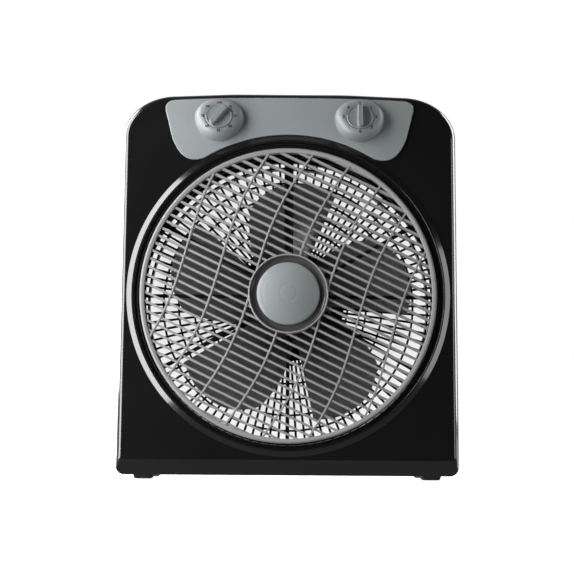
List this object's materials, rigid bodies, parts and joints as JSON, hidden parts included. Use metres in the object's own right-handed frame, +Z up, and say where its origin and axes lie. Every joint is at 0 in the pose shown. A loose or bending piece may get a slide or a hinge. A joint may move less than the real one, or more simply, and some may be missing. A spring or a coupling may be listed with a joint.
{
  "type": "box fan",
  "caption": "Square floor fan with a rotating louvre grille in front of a bladed rotor, a timer dial and a speed dial.",
  "frame": {"origin": "middle of the footprint, on the surface that the fan stands on", "axes": "+Z up; the air blows towards -Y, the front; +X to the right as seen from the front"},
  "size_m": [0.386, 0.1668, 0.444],
  "materials": {
    "black_gloss": "glossy black moulded plastic",
    "panel_grey": "satin blue-grey plastic",
    "dial_grey": "satin light grey plastic",
    "knob_grey": "satin silver-grey plastic",
    "grille_grey": "satin mid-grey plastic",
    "smoke": "glossy smoke-grey plastic",
    "black_satin": "satin black plastic",
    "rubber_feet": "black rubber",
    "steel": "zinc-plated steel",
    "bronze": "sintered bronze",
    "copper": "enamelled copper wire",
    "white_plastic": "white moulded plastic"
  },
  "bodies": {
    "housing": {"front_shell": "black_gloss", "rear_shell": "black_gloss", "trim_ring": "black_gloss", "control_panel": "panel_grey", "timer_bezel": "dial_grey", "speed_bezel": "dial_grey", "grille_spider": "black_satin", "rear_grille": "black_satin", "motor_cap": "black_satin", "cord_gland": "black_satin", "foot_front_left": "rubber_feet", "foot_front_right": "rubber_feet", "foot_rear_left": "rubber_feet", "foot_rear_right": "rubber_feet", "grille_axle": "steel", "motor_stator": "steel", "motor_front_cover": "steel", "motor_rear_cover": "steel", "housing_screw_1": "steel", "housing_screw_2": "steel", "housing_screw_3": "steel", "housing_screw_4": "steel", "motor_screw_1": "steel", "motor_screw_2": "steel", "motor_screw_3": "steel", "motor_screw_4": "steel", "front_bearing": "bronze", "rear_bearing": "bronze", "front_winding": "copper", "rear_winding": "copper", "timer_module": "white_plastic", "speed_switch": "white_plastic", "capacitor": "white_plastic"},
    "fan": {"fan_rotor": "smoke", "blade_nut": "smoke", "motor_shaft": "steel", "motor_rotor": "steel"},
    "grille": {"louvre_grille": "grille_grey"},
    "hub_cap": {"hub_knob": "panel_grey"},
    "timer_dial": {"timer_knob": "knob_grey", "timer_spindle": "steel"},
    "speed_dial": {"speed_knob": "knob_grey", "speed_spindle": "steel"}
  },
  "joints": [
    {"name": "fan_spin", "type": "hinge", "parent": "housing", "child": "fan", "pos_m": [0, 0.0414, 0.209], "axis": [0, 1, 0], "continuous": true},
    {"name": "grille_spin", "type": "hinge", "parent": "housing", "child": "grille", "pos_m": [0, -0.0546, 0.209], "axis": [0, 1, 0], "continuous": true},
    {"name": "hub_pull", "type": "slide", "parent": "grille", "child": "hub_cap", "axis": [0, -1, 0], "range_m": [0, 0.004]},
    {"name": "timer_turn", "type": "hinge", "parent": "housing", "child": "timer_dial", "pos_m": [-0.0809, -0.0686, 0.4103], "axis": [0, 0.9659, -0.2588], "range_deg": [-38, 262]},
    {"name": "speed_turn", "type": "hinge", "parent": "housing", "child": "speed_dial", "pos_m": [0.0809, -0.0686, 0.4103], "axis": [0, 0.9659, -0.2588], "continuous": true}
  ]
}
